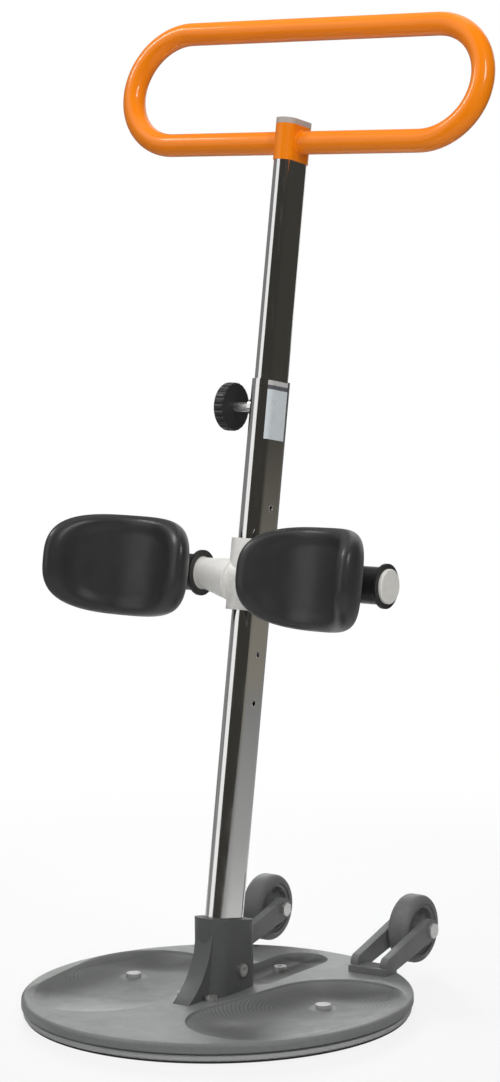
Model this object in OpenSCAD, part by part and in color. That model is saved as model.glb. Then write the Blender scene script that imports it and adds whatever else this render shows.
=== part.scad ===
// Patient turner: a turning foot disc, a leaning telescopic mast with a loop handle, and two leg pads.
// Millimetres. The origin is on the floor under the disc centre and +Z is up.
// The user stands on the -Y side, and the transport wheels are on the +Y side.

/* [Base] */
// Diameter of the turning foot disc
disc_diameter = 400; // [396:2:410]
// Thickness of the rubber mat under the lower plate
mat_thickness = 2; // [1.5:0.5:3]
// Thickness of the lower plate that stays on the floor
floor_plate_thickness = 6; // [6:0.5:8]
// How far the lower plate stays inside the foot disc's edge
floor_plate_inset = 2; // [1:0.5:4]
// Open gap between the lower plate and the foot disc
turn_gap = 1.5; // [1.4:0.1:2]
// Thickness of the foot disc at its rim
foot_disc_thickness = 10.5; // [10.5:0.5:13]
// Rounding of the foot disc's top edge
rim_round = 4; // [2:0.5:5]
// Depth of a foot dish in its middle
dish_depth = 5; // [3.5:0.5:5]
// Depth of a foot dish at the foot of its wall
dish_wall = 2; // [1.5:0.5:2.5]
// Half width of a foot dish
dish_half_width = 74; // [70:1:76]
// Width of the flat lip between a foot dish and the disc's edge
dish_lip = 13; // [10:0.5:18]
// Depth of the channel behind the mast socket
channel_depth = 4; // [3:0.5:5]

/* [Turning bearing] */
// Diameter of the circle that the balls run on
ball_circle_diameter = 300; // [280:5:310]
// Diameter of a bearing ball
ball_diameter = 6; // [5:0.5:6]
// Number of bearing balls
ball_count = 24; // [12:2:36]
// Thickness of a bearing race
race_thickness = 3.5; // [3.5:0.1:3.8]
// Diameter of the centre spindle
spindle_diameter = 20; // [16:1:24]

/* [Mast] */
// Lean of the mast towards the wheels
mast_lean = 10; // [8:0.5:12]
// Long side of the outer oval tube
outer_tube_depth = 50; // [46:1:54]
// Short side of the outer oval tube
outer_tube_width = 25; // [24:0.5:27]
// Wall of the mast tubes
tube_wall = 1.5; // [1.5:0.1:2]
// Room between the two mast tubes on each side
tube_room = 0.75; // [0.6:0.05:1.2]
// Top end of the outer tube, along the mast
outer_tube_top = 646; // [620:1:680]
// Height of the socket's top, along the mast
socket_top = 95; // [80:1:110]
// Wall of the socket round the tube
socket_wall = 8; // [6:0.5:10]
// Spacing of the index holes for the leg pads
index_pitch = 50; // [40:1:55]
// Lowest index hole, along the mast
index_lowest = 315; // [290:1:330]
// Number of index holes
index_count = 5; // [4:1:6]

/* [Handle] */
// Height of the handle's lower bar, along the mast
handle_height = 892; // [860:1:920]
// Diameter of the handle tube
handle_tube_diameter = 24; // [22:0.5:27]
// Half length of the handle's straight bars
handle_half_length = 152; // [120:1:170]
// Bend radius of the handle's ends, at the tube's middle
handle_bend_radius = 62; // [50:1:75]
// Tilt of the handle loop from upright
handle_tilt = 19; // [10:1:25]
// Lower end of the inner tube, along the mast
inner_tube_bottom = 356; // [345:1:380]
// Diameter of the clamp knob
knob_diameter = 50; // [40:1:55]
// Thickness of the clamp knob
knob_thickness = 12.5; // [11:0.5:16]
// Diameter of the clamp screw
clamp_screw_diameter = 10; // [8:0.5:12]

/* [Leg support] */
// Height of the crossbar, along the mast
carriage_height = 444; // [440:1:448]
// Height of the carriage sleeve
sleeve_height = 73; // [70:1:80]
// Wall of the carriage sleeve
sleeve_wall = 6.5; // [5:0.5:8]
// Distance of the crossbar in front of the mast axis
crossbar_offset = 17; // [15:0.5:19]
// Diameter of the crossbar
crossbar_diameter = 32; // [28:1:34]
// Half length of the crossbar with its end caps
crossbar_half_length = 175; // [170:0.5:185]
// Diameter of the hub's neck
hub_neck_diameter = 37.5; // [37:0.5:41]
// Diameter of the hub's flared lip beside the mast
hub_inner_lip_diameter = 47; // [43:0.5:47]
// Diameter of the hub's flared lip at the crossbar's end
hub_outer_lip_diameter = 45; // [43:0.5:50]
// Toe-in of each pad towards the mast
pad_toe_in = 12.8; // [8:0.2:14]
// Height of a pad
pad_height = 103.5; // [90:0.5:115]
// Radius of a pad's middle layer, seen from above
pad_radius = 81; // [76:1:84]
// Half the angle that a pad wraps round the leg
pad_wrap = 67; // [58:1:70]
// Thickness of a pad at its rim
pad_thickness = 30; // [24:1:32]
// Depth of the sunk panel in a pad's front
pad_dish = 6; // [3:0.5:8]

/* [Wheels] */
// Diameter of a transport wheel
wheel_diameter = 72; // [66:1:76]
// Width of a transport wheel
wheel_width = 24; // [20:1:28]
// Distance of a wheel from the middle plane
wheel_offset = 93.5; // [85:0.5:100]
// Distance of the wheel axle behind the disc centre
axle_back = 230; // [228:1:240]
// Height of the wheel axle above the floor
axle_height = 50; // [46:1:56]
// Diameter of a wheel axle
axle_diameter = 10; // [8:0.5:12]

/* [Hidden] */
$fn = 72;
// Clearances
running_fit = 0.05;
sliding_fit = 0.1;
free_gap = 0.3;
overshoot = 1;
link_inset = 0.97;

// Base levels and radii
disc_radius = disc_diameter / 2;
floor_top = mat_thickness + floor_plate_thickness;
disc_bottom = floor_top + turn_gap;
disc_top = disc_bottom + foot_disc_thickness;
floor_plate_radius = disc_radius - floor_plate_inset;
mat_radius = floor_plate_radius - 2;
lower_edge_round = 1.5;
ball_radius = ball_diameter / 2;
ball_circle = ball_circle_diameter / 2;
ball_level = (floor_top + disc_bottom) / 2;
race_width = 14;
race_inner = ball_circle - race_width / 2;
cage_width = 12;
cage_thickness = turn_gap - 2 * free_gap;
spindle_radius = spindle_diameter / 2;
spindle_flange_radius = spindle_radius + 18;
spindle_flange = 2.5;
bush_wall = 3;
bush_radius = spindle_radius + running_fit + bush_wall;
washer_radius = spindle_radius + 7;
washer_thickness = 2;
pivot_pocket_depth = 4.5;
pivot_pocket_floor = disc_top - pivot_pocket_depth;
spindle_top = pivot_pocket_floor + free_gap;
pivot_head = 1.7;
pivot_thread_radius = 4;
pivot_thread_length = 9;

// Foot dishes, from the heel's end to the toe's end
dish_heel = [100, -70];
dish_toe = [116, 40];
dish_middle = (dish_heel + dish_toe) / 2;
dish_run = norm(dish_toe - dish_heel);
dish_turn = atan2(dish_toe.x - dish_heel.x, dish_toe.y - dish_heel.y);
dish_reach = disc_radius - dish_lip;
dish_lip_run = 4;
channel_half_width = 30;
channel_wall = 2;
channel_start = 62;
channel_end = 152;
stud_spot = [118, 16];
stud_radius = 7.8;
stud_head = 4.4;
stud_shank_radius = 3;
stud_shank = 3.5;
stud_seat = dish_depth + 0.2;

// Screws in the base
screw_radius = 4;
screw_head_radius = 6.5;
screw_head = 5;
screw_length = 8;
front_screw = [17, -36];
rear_screw_y = 115;
seat_room = 1;
fork_screw_radius = 3;
fork_screw_head_radius = 5;

// Mast sections, all with the long side on Y
mast_foot_y = -3.3;
mast_bottom = 30;
outer_size = [outer_tube_width, outer_tube_depth];
outer_bore = outer_size - [1, 1] * 2 * tube_wall;
inner_size = outer_bore - [1, 1] * 2 * tube_room;
inner_bore = inner_size - [1, 1] * 2 * tube_wall;
flat_x = outer_tube_width / 2;
bush_length = 40;
glide_flange = 10;
glide_plug = 30;

// Socket
socket_size = outer_size + [1, 1] * 2 * socket_wall;
socket_side = socket_size.x / 2;
socket_back_y = 29;
socket_corner = 6;
socket_top_back = 37;
flare_radius = 87;
flare_center = [-108.2, 95.4];
flare_half_width = 10;
flare_reach = 75;
mast_bolt_spot = [8, 44];
mast_bolt_radius = 4;
mast_bolt_head_radius = 6.5;
mast_bolt_head = 4.5;

// Height clamp
clamp_level = outer_tube_top - 28;
clamp_radius = clamp_screw_diameter / 2;
clamp_boss_radius = clamp_radius + 4;
clamp_boss_length = 9;
shoe_thickness = 2;
shoe_face = inner_size.x / 2 + running_fit;
screw_tip = shoe_face + shoe_thickness + running_fit;
knob_back = 41;
knob_seat = 8;
knob_radius = knob_diameter / 2;
knob_edge = 4;
flute_count = 24;
flute_radius = 2.2;

// Handle
handle_radius = handle_tube_diameter / 2;
handle_wall = 2;
collar_wall = 1;
collar_size = inner_size + [1, 1] * 2 * collar_wall;
collar_below = 20;
collar_above = 17.3;
inner_tube_top = handle_height + collar_above;
cap_height = 6;
cap_plug = 14;

// Leg support, in the mast's frame
sleeve_below = 35;
sleeve_size = outer_size + [1, 1] * 2 * (sleeve_wall + sliding_fit);
sleeve_side = sleeve_size.x / 2;
crossbar_radius = crossbar_diameter / 2;
crossbar_bore_radius = crossbar_radius - 4;
arm_root_radius = crossbar_radius + 5.5;
arm_droop = 8;
arm_cone_start = 14;
arm_cone_end = 47.8;
arm_bore_start = 60;
end_cap = 4;
end_cap_radius = crossbar_radius + 1.5;
end_cap_plug = 15;
crossbar_end = crossbar_half_length - end_cap;
hub_start = arm_cone_end + 4.6;
hub_end = crossbar_end - free_gap;
hub_middle = (hub_start + hub_end) / 2;
hub_sleeve_wall = 1;
hub_sleeve_radius = crossbar_radius + hub_sleeve_wall;
hub_bore_radius = hub_sleeve_radius + running_fit;
hub_neck_radius = hub_neck_diameter / 2;
hub_lip = 3;
pad_half = pad_thickness / 2;
pad_outset = 7.5;
pad_lift = 1;
pad_bulge = pad_radius * (1 - cos(pad_toe_in));
pad_middle = hub_neck_radius + free_gap + pad_half + pad_bulge;
plate_radius = pad_radius + pad_half + sliding_fit;
plate_thickness = 4;
plate_height = 56;
plate_half_angle = 24;
pad_sides = 56;
pad_rings = 8;
pad_corner = 2.77;
pad_dish_edge = [0.66, 0.94];
pad_edge_power = 6;

// Index plunger, on the sleeve's +X side, shown drawn out and latched
index_on = index_lowest + 3 * index_pitch;
index_set_back = 1.5;
index_bush_radius = 4;
pin_radius = 2.5;
plunger_draw = 3;
pin_tip = outer_bore.x / 2 + sliding_fit + plunger_draw;
pin_collar_radius = 5;
pin_collar = 2;
housing_radius = 8;
housing_length = 14;
housing_end = sleeve_side + housing_length;
housing_cap = 2;
spring_room_radius = 6;
pin_collar_x = sleeve_side + housing_cap + plunger_draw;
plunger_knob_radius = 9;
plunger_knob_x = housing_end + 1 + plunger_draw;
plunger_knob_length = 11;
plunger_knob_edge = 3;
pin_end = plunger_knob_x + 8;
spring_wire_radius = 0.4;
spring_radius = 4.3;
spring_turns = 3;
spring_steps = 16;
spring_sides = 6;
spring_start = pin_collar_x + pin_collar + spring_wire_radius;
spring_length = housing_end - housing_cap - spring_start - spring_wire_radius;

// Wheels and forks
wheel_radius = wheel_diameter / 2;
axle_radius = axle_diameter / 2;
tyre_depth = 9;
tyre_round = 6.5;
rim_depth = 4;
rim_width = wheel_width - 4;
web_thickness = 6;
wheel_bush_wall = 1.5;
boss_radius = axle_radius + wheel_bush_wall + 2.5;
spoke_holes = 5;
spoke_hole_radius = 5;
spoke_circle = (boss_radius + wheel_radius - tyre_depth - rim_depth) / 2;
arm_thickness = 9;
wheel_side_gap = 1.5;
arm_inner = wheel_width / 2 + wheel_side_gap;
arm_outer = arm_inner + arm_thickness;
arm_end_radius = 12;
arm_base_radius = 9;
arm_base_y = 150;
saddle_front = arm_base_y - arm_end_radius - 1;
saddle_back = arm_base_y + 10;
saddle_height = 7;
axle_head_radius = 8;
axle_head = 4;
fork_screw_spread = 17.5;
fork_screw_head = 3;
fork_screw_reach = 10;

// Flat-oval outline of size [x, y] with its round ends on Y
module oval(size) {
    square([size.x, size.y - size.x], center = true);
    for (end = [-1, 1])
        translate([0, end * (size.y - size.x) / 2])
            circle(d = size.x);
}

// Places children on the leaning mast axis, at a distance along it
module on_mast(level = 0) {
    translate([0, mast_foot_y, 0])
        rotate([-mast_lean, 0, 0])
            translate([0, 0, level])
                children();
}

// A round bar along X from x0 to x1
module bar_x(radius, x0, x1) {
    translate([x0, 0, 0])
        rotate([0, 90, 0])
            cylinder(r = radius, h = x1 - x0);
}

// An outline in Y and Z, extruded along X from x0 to x1
module plate_x(x0, x1) {
    translate([x0, 0, 0])
        rotate([90, 0, 90])
            linear_extrude(x1 - x0)
                children();
}

// Two circles of unlike radius joined by lines just inside their tangents, along the first axis
module link_outline(length, radius0, radius1) {
    swing = asin((radius0 - radius1) / length);
    circle(radius0);
    translate([length, 0])
        circle(radius1);
    polygon([
        for (side = [1, -1], end = side > 0 ? [0, 1] : [1, 0])
            let (radius = end == 0 ? radius0 : radius1)
            link_inset * [0, side * radius * cos(swing)] + [end * length + radius * sin(swing), 0]
    ]);
}

// Section of a disc with a rounded top edge and a rounded bottom edge
module disc_section(radius, low, high, top_round, bottom_round) {
    translate([0, low])
        square([radius - max(top_round, bottom_round), high - low]);
    translate([0, low + bottom_round])
        square([radius, high - low - top_round - bottom_round]);
    translate([radius - top_round, high - top_round])
        circle(top_round);
    translate([radius - bottom_round, low + bottom_round])
        circle(bottom_round);
    translate([0, low])
        square([radius - bottom_round, bottom_round]);
}

// Section of a shallow bowl, cut from its middle out to a sloping wall
module bowl_section(half_width, depth, wall) {
    floor_radius = half_width * half_width / (2 * (depth - wall));
    lift = 4;
    intersection() {
        translate([0, floor_radius - depth])
            circle(floor_radius, $fn = 360);
        polygon([
            [0, -2 * depth],
            [half_width - wall, -2 * depth],
            [half_width - wall, -wall],
            [half_width + lift, lift],
            [0, lift]
        ]);
    }
}

// A long bowl with round ends, to be cut out of a flat top
module bowl_cut(half_width, depth, wall, run) {
    rotate([90, 0, 0])
        linear_extrude(run, center = true)
            for (side = [0, 1])
                mirror([side, 0])
                    bowl_section(half_width, depth, wall);
    for (end = [0, 1])
        mirror([0, end, 0])
            translate([0, run / 2, 0])
                rotate_extrude(angle = 180)
                    bowl_section(half_width, depth, wall);
}

module floor_mat() {
    color("dimgray")
        cylinder(r = mat_radius, h = mat_thickness);
}

module floor_plate() {
    color("gray")
        difference() {
            rotate_extrude()
                disc_section(
                    floor_plate_radius, mat_thickness, floor_top, lower_edge_round, lower_edge_round
                );
            race_space(floor_top - race_thickness, floor_top + overshoot);
            cylinder(r = spindle_radius, h = floor_top + overshoot);
            cylinder(r = spindle_flange_radius, h = mat_thickness + spindle_flange);
        }
}

// Ring that a race fills, from one level to another
module race_space(low, high) {
    translate([0, 0, low])
        difference() {
            cylinder(r = race_inner + race_width, h = high - low);
            translate([0, 0, -overshoot])
                cylinder(r = race_inner, h = high - low + 2 * overshoot);
        }
}

// A race ring with its ball groove
module race(low) {
    rotate_extrude()
        difference() {
            translate([race_inner, low])
                square([race_width, race_thickness]);
            translate([ball_circle, ball_level])
                circle(ball_radius + running_fit);
        }
}

module lower_race() {
    color("silver")
        race(floor_top - race_thickness);
}

module upper_race() {
    color("silver")
        race(disc_bottom);
}

module pivot_spindle() {
    color("lightsteelblue")
        difference() {
            union() {
                translate([0, 0, mat_thickness])
                    cylinder(r = spindle_radius, h = spindle_top - mat_thickness);
                translate([0, 0, mat_thickness])
                    cylinder(r = spindle_flange_radius, h = spindle_flange);
            }
            translate([0, 0, spindle_top - pivot_thread_length])
                cylinder(r = pivot_thread_radius, h = pivot_thread_length + overshoot);
        }
}

module pivot_washer() {
    color("silver")
        translate([0, 0, spindle_top])
            difference() {
                cylinder(r = washer_radius, h = washer_thickness);
                translate([0, 0, -overshoot])
                    cylinder(r = pivot_thread_radius, h = washer_thickness + 2 * overshoot);
            }
}

module pivot_screw() {
    color("dimgray") {
        translate([0, 0, spindle_top - pivot_thread_length])
            cylinder(r = pivot_thread_radius, h = pivot_thread_length + washer_thickness + pivot_head / 2);
        translate([0, 0, spindle_top + washer_thickness])
            cylinder(r = 2 * pivot_thread_radius, h = pivot_head);
    }
}

module ball_cage() {
    color("wheat")
        translate([0, 0, ball_level - cage_thickness / 2])
            difference() {
                cylinder(r = ball_circle + cage_width / 2, h = cage_thickness);
                translate([0, 0, -overshoot])
                    cylinder(r = ball_circle - cage_width / 2, h = cage_thickness + 2 * overshoot);
                for (i = [0 : ball_count - 1])
                    rotate([0, 0, i * 360 / ball_count])
                        translate([ball_circle, 0, -overshoot])
                            cylinder(r = ball_radius + sliding_fit, h = cage_thickness + 2 * overshoot);
            }
}

module bearing_balls() {
    color("lightgray")
        for (i = [0 : ball_count - 1])
            rotate([0, 0, i * 360 / ball_count])
                translate([ball_circle, 0, ball_level])
                    sphere(ball_radius);
}

// Places children at both mirrored spots of the base
module both_sides(spot) {
    for (side = [-1, 1])
        translate([side * spot.x, spot.y, 0])
            children();
}

// Space of one foot dish: a long bowl whose outer side is left off at a slope up to the lip
module foot_dish() {
    difference() {
        translate([dish_middle.x, dish_middle.y, disc_top])
            rotate([0, 0, -dish_turn])
                bowl_cut(dish_half_width, dish_depth, dish_wall, dish_run);
        translate([0, 0, disc_top])
            rotate_extrude()
                polygon([
                    [dish_reach - 2 * dish_depth * dish_lip_run, -2 * dish_depth],
                    [2 * disc_radius, -2 * dish_depth],
                    [2 * disc_radius, dish_depth],
                    [dish_reach + dish_depth * dish_lip_run, dish_depth]
                ]);
    }
}

module foot_disc() {
    color("slategray")
        difference() {
            rotate_extrude()
                disc_section(disc_radius, disc_bottom, disc_top, rim_round, lower_edge_round);
            for (side = [0, 1])
                mirror([side, 0, 0])
                    foot_dish();
            difference() {
                translate([0, (channel_start + channel_end) / 2, disc_top])
                    bowl_cut(channel_half_width, channel_depth, channel_wall, channel_end - channel_start);
                linear_extrude(disc_top)
                    socket_back_outline();
            }
            race_space(disc_bottom - overshoot, disc_bottom + race_thickness);
            translate([0, 0, disc_bottom - overshoot])
                cylinder(r = bush_radius, h = foot_disc_thickness);
            translate([0, 0, pivot_pocket_floor])
                cylinder(r = washer_radius + seat_room, h = pivot_pocket_depth + overshoot);
            both_sides(stud_spot) {
                translate([0, 0, disc_top - stud_seat])
                    cylinder(r = stud_radius, h = stud_seat + overshoot);
                translate([0, 0, disc_top - stud_seat - stud_shank])
                    cylinder(r = stud_shank_radius, h = stud_shank + overshoot);
            }
            both_sides(front_screw)
                translate([0, 0, disc_top - screw_length])
                    cylinder(r = screw_radius, h = screw_length + overshoot);
            translate([0, rear_screw_y, disc_top - channel_depth - screw_length / 2])
                cylinder(r = screw_radius, h = screw_length);
            translate([0, rear_screw_y, disc_top - channel_depth])
                cylinder(r = screw_head_radius + seat_room, h = channel_depth + overshoot);
            fork_screw_spots() {
                translate([0, 0, disc_bottom - overshoot])
                    cylinder(r = fork_screw_radius, h = foot_disc_thickness + 2 * overshoot);
                translate([0, 0, disc_bottom - overshoot])
                    cylinder(
                        r = fork_screw_head_radius + seat_room,
                        h = fork_screw_head + free_gap + overshoot
                    );
            }
        }
}

module pivot_bush() {
    color("ivory")
        translate([0, 0, disc_bottom])
            difference() {
                cylinder(r = bush_radius, h = pivot_pocket_floor - disc_bottom);
                translate([0, 0, -overshoot])
                    cylinder(r = spindle_radius + running_fit, h = foot_disc_thickness);
            }
}

module foot_studs() {
    color("gainsboro")
        both_sides(stud_spot) {
            translate([0, 0, disc_top - stud_seat])
                cylinder(r = stud_radius, h = stud_head);
            translate([0, 0, disc_top - stud_seat - stud_shank])
                cylinder(r = stud_shank_radius, h = stud_shank + stud_head / 2);
        }
}

// A socket-head screw with its seat at z = 0 and its shank below
module cap_screw(length) {
    difference() {
        union() {
            cylinder(r = screw_head_radius, h = screw_head);
            translate([0, 0, -length])
                cylinder(r = screw_radius, h = length + screw_head / 2);
        }
        translate([0, 0, screw_head / 2])
            cylinder(r = screw_head_radius / 2, h = screw_head, $fn = 6);
    }
}

module base_screws() {
    color("silver") {
        both_sides(front_screw)
            translate([0, 0, disc_top])
                cap_screw(screw_length);
        translate([0, rear_screw_y, disc_top - channel_depth])
            cap_screw(screw_length / 2);
    }
}

// The space under the socket's square-cut top, with the back corner rounded
module socket_envelope() {
    reach = 200;
    on_mast(socket_top)
        plate_x(-reach, reach) {
            translate([-reach, -reach])
                square([reach + socket_top_back - socket_corner, reach]);
            translate([-reach, -reach])
                square([reach + socket_top_back, reach - socket_corner]);
            translate([socket_top_back - socket_corner, -socket_corner])
                circle(socket_corner);
        }
}

// The front fin, curved up from the disc to the socket's top
module socket_flare() {
    difference() {
        translate([0, 0, disc_top])
            linear_extrude(socket_top)
                translate([-flare_half_width, -flare_reach])
                    square([2 * flare_half_width, flare_reach]);
        plate_x(-2 * flare_half_width, 2 * flare_half_width)
            translate(flare_center)
                circle(flare_radius, $fn = 180);
    }
}

// Plan outline of the socket's upright back
module socket_back_outline() {
    translate([0, (socket_back_y + mast_foot_y) / 2])
        oval([socket_size.x, socket_back_y - mast_foot_y + socket_size.x]);
}

module mast_socket() {
    color("slategray")
        difference() {
            intersection() {
                union() {
                    on_mast()
                        linear_extrude(socket_top + overshoot)
                            oval(socket_size);
                    socket_flare();
                    translate([0, 0, disc_top])
                        linear_extrude(socket_top)
                            socket_back_outline();
                }
                socket_envelope();
                translate([-disc_radius, -disc_radius, disc_top])
                    cube([disc_diameter, disc_diameter, 2 * socket_top]);
            }
            on_mast(mast_bottom)
                linear_extrude(socket_top)
                    oval(outer_size);
            socket_bolt_hole();
        }
}

module socket_bolt_hole() {
    on_mast(mast_bolt_spot.y)
        translate([0, mast_bolt_spot.x, 0])
            bar_x(mast_bolt_radius, -socket_side - overshoot, socket_side + overshoot);
}

module socket_bolt() {
    color("silver")
        on_mast(mast_bolt_spot.y)
            translate([0, mast_bolt_spot.x, 0])
                difference() {
                    union() {
                        bar_x(
                            mast_bolt_radius,
                            -socket_side - mast_bolt_head,
                            socket_side + mast_bolt_head / 2
                        );
                        bar_x(mast_bolt_head_radius, socket_side, socket_side + mast_bolt_head);
                        bar_x(mast_bolt_head_radius, -socket_side - mast_bolt_head, -socket_side, $fn = 6);
                    }
                    bar_x(mast_bolt_head_radius / 2, socket_side + mast_bolt_head / 2,
                        socket_side + mast_bolt_head + overshoot, $fn = 6);
                }
}

module oval_tube(size, bore, length) {
    linear_extrude(length)
        difference() {
            oval(size);
            oval(bore);
        }
}

// Levels of the index holes along the mast
function index_level(i) = index_lowest + i * index_pitch;

// Places children on an index hole's line, at a level along the mast
module at_index(level) {
    on_mast(level)
        translate([0, index_set_back, 0])
            children();
}

module outer_tube() {
    color("lightgray")
        difference() {
            on_mast(mast_bottom)
                oval_tube(outer_size, outer_bore, outer_tube_top - mast_bottom);
            socket_bolt_hole();
            for (i = [0 : index_count - 1])
                at_index(index_level(i))
                    bar_x(index_bush_radius, outer_bore.x / 2 - overshoot, flat_x + overshoot);
            on_mast(clamp_level)
                bar_x(clamp_radius + running_fit, -flat_x - overshoot, -outer_bore.x / 2 + overshoot);
        }
}

module guide_bush() {
    color("whitesmoke")
        difference() {
            on_mast(outer_tube_top - bush_length)
                oval_tube(outer_bore, inner_size + [1, 1] * 2 * running_fit, bush_length);
            on_mast(clamp_level)
                bar_x(clamp_radius + running_fit, -flat_x, 0);
        }
}

module clamp_boss() {
    color("silver")
        on_mast(clamp_level)
            difference() {
                bar_x(clamp_boss_radius, -flat_x - clamp_boss_length, -flat_x);
                bar_x(
                    clamp_radius + running_fit,
                    -flat_x - clamp_boss_length - overshoot,
                    -flat_x + overshoot
                );
            }
}

module index_bushes() {
    color("gainsboro")
        for (i = [0 : index_count - 1])
            at_index(index_level(i))
                difference() {
                    bar_x(index_bush_radius, outer_bore.x / 2, flat_x);
                    bar_x(pin_radius + sliding_fit, outer_bore.x / 2 - overshoot, flat_x + overshoot);
                }
}

// Places children at both screws of both forks
module fork_screw_spots() {
    for (side = [-1, 1], end = [-1, 1])
        translate([side * wheel_offset + end * fork_screw_spread, arm_base_y, 0])
            children();
}

module fork_screws() {
    color("dimgray")
        fork_screw_spots() {
            translate([0, 0, disc_bottom + free_gap])
                cylinder(r = fork_screw_head_radius, h = fork_screw_head);
            translate([0, 0, disc_bottom + free_gap])
                cylinder(r = fork_screw_radius, h = foot_disc_thickness - free_gap + fork_screw_reach);
        }
}

// Side outline of a fork arm, from the disc's top to the axle
module fork_arm_outline() {
    base = [arm_base_y, disc_top + arm_base_radius];
    reach = [axle_back, axle_height] - base;
    translate(base)
        rotate(atan2(reach.y, reach.x))
            link_outline(norm(reach), arm_base_radius, arm_end_radius);
    translate([saddle_front, disc_top])
        square([saddle_back - saddle_front, saddle_height]);
}

module fork(side) {
    color("slategray")
        translate([side * wheel_offset, 0, 0])
            difference() {
                union() {
                    plate_x(-arm_outer, -arm_inner)
                        fork_arm_outline();
                    plate_x(arm_inner, arm_outer)
                        fork_arm_outline();
                    translate([-arm_outer, saddle_front, disc_top])
                        cube([2 * arm_outer, saddle_back - saddle_front, saddle_height]);
                }
                translate([0, axle_back, axle_height])
                    bar_x(axle_radius, -arm_outer - overshoot, arm_outer + overshoot);
                for (end = [-1, 1])
                    translate([end * fork_screw_spread, arm_base_y, disc_top - overshoot])
                        cylinder(r = fork_screw_radius, h = fork_screw_reach + overshoot);
            }
}

module left_fork() {
    fork(-1);
}

module right_fork() {
    fork(1);
}

// A wheel axle with its head on the outer side and a nut on the inner side
module axle(side) {
    color("silver")
        translate([side * wheel_offset, axle_back, axle_height])
            mirror([side < 0 ? 1 : 0, 0, 0]) {
                bar_x(axle_radius, -arm_outer - axle_head, arm_outer + axle_head / 2);
                bar_x(axle_head_radius, arm_outer, arm_outer + axle_head);
                bar_x(axle_head_radius, -arm_outer - axle_head, -arm_outer, $fn = 6);
            }
}

module left_axle() {
    axle(-1);
}

module right_axle() {
    axle(1);
}

// Places children at a wheel's centre with Z along the axle
module at_wheel(side) {
    translate([side * wheel_offset, axle_back, axle_height])
        rotate([0, 90, 0])
            children();
}

module tyre(side) {
    inner = wheel_radius - tyre_depth;
    half = wheel_width / 2;
    color("gray")
        at_wheel(side)
            rotate_extrude()
                intersection() {
                    translate([inner, -half])
                        square([tyre_depth, wheel_width]);
                    union() {
                        square([2 * (wheel_radius - tyre_round), wheel_width], center = true);
                        translate([0, -half + tyre_round])
                            square([wheel_radius, wheel_width - 2 * tyre_round]);
                        for (end = [-1, 1])
                            translate([wheel_radius - tyre_round, end * (half - tyre_round)])
                                circle(tyre_round);
                    }
                }
}

module wheel_hub(side) {
    outer = wheel_radius - tyre_depth;
    color("darkgray")
        at_wheel(side)
            difference() {
                rotate_extrude() {
                    translate([outer - rim_depth, -rim_width / 2])
                        square([rim_depth, rim_width]);
                    translate([axle_radius + running_fit + wheel_bush_wall, -web_thickness / 2])
                        square([
                            outer - rim_depth / 2 - axle_radius - running_fit - wheel_bush_wall,
                            web_thickness
                        ]);
                    translate([axle_radius + running_fit + wheel_bush_wall, -wheel_width / 2])
                        square([boss_radius - axle_radius - running_fit - wheel_bush_wall, wheel_width]);
                }
                for (i = [0 : spoke_holes - 1])
                    rotate([0, 0, i * 360 / spoke_holes])
                        translate([spoke_circle, 0, -wheel_width])
                            cylinder(r = spoke_hole_radius, h = 2 * wheel_width);
            }
}

module wheel_bush(side) {
    half = wheel_width / 2 + wheel_side_gap - free_gap;
    color("ivory")
        at_wheel(side)
            rotate_extrude()
                translate([axle_radius + running_fit, -half])
                    square([wheel_bush_wall, 2 * half]);
}

module left_tyre() {
    tyre(-1);
}

module right_tyre() {
    tyre(1);
}

module left_wheel_hub() {
    wheel_hub(-1);
}

module right_wheel_hub() {
    wheel_hub(1);
}

module left_wheel_bush() {
    wheel_bush(-1);
}

module right_wheel_bush() {
    wheel_bush(1);
}

module inner_tube() {
    color("lightgray")
        on_mast(inner_tube_bottom)
            oval_tube(inner_size, inner_bore, inner_tube_top - inner_tube_bottom);
}

module lower_glide() {
    color("whitesmoke")
        on_mast(inner_tube_bottom - glide_flange) {
            linear_extrude(glide_flange)
                oval(outer_bore - [1, 1] * 2 * running_fit);
            linear_extrude(glide_flange + glide_plug)
                oval(inner_bore);
        }
}

module handle_collar() {
    color("darkorange")
        on_mast(handle_height - collar_below)
            oval_tube(collar_size, inner_size, collar_below + collar_above);
}

module mast_cap() {
    color("gray")
        on_mast(inner_tube_top - cap_plug) {
            linear_extrude(cap_plug + cap_height / 2)
                oval(inner_bore);
            translate([0, 0, cap_plug])
                linear_extrude(cap_height)
                    oval(collar_size);
        }
}

// The handle's closed run at one radius, with the lower bar open between -gap and gap
module handle_run(radius, gap) {
    for (side = [-1, 1]) {
        bar_x(radius, side > 0 ? gap : -handle_half_length, side > 0 ? handle_half_length : -gap);
        translate([side * handle_half_length, 0, handle_bend_radius])
            rotate([90, 0, 0])
                rotate([0, 0, -90 * side])
                    rotate_extrude(angle = 180)
                        translate([handle_bend_radius, 0])
                            circle(radius);
    }
    translate([0, 0, 2 * handle_bend_radius])
        bar_x(radius, -handle_half_length, handle_half_length);
}

module handle_loop() {
    color("darkorange")
        translate([0, mast_foot_y, 0])
            translate(handle_height * [0, sin(mast_lean), cos(mast_lean)])
                rotate([-handle_tilt, 0, 0])
                    difference() {
                        handle_run(handle_radius, collar_size.x / 2);
                        handle_run(handle_radius - handle_wall, collar_size.x / 2 - overshoot);
                    }
}

module clamp_shoe() {
    color("goldenrod")
        on_mast(clamp_level)
            bar_x(clamp_radius, -shoe_face - shoe_thickness, -shoe_face);
}

module clamp_screw() {
    color("silver")
        on_mast(clamp_level)
            bar_x(clamp_radius, -knob_back - knob_seat, -screw_tip);
}

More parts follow.
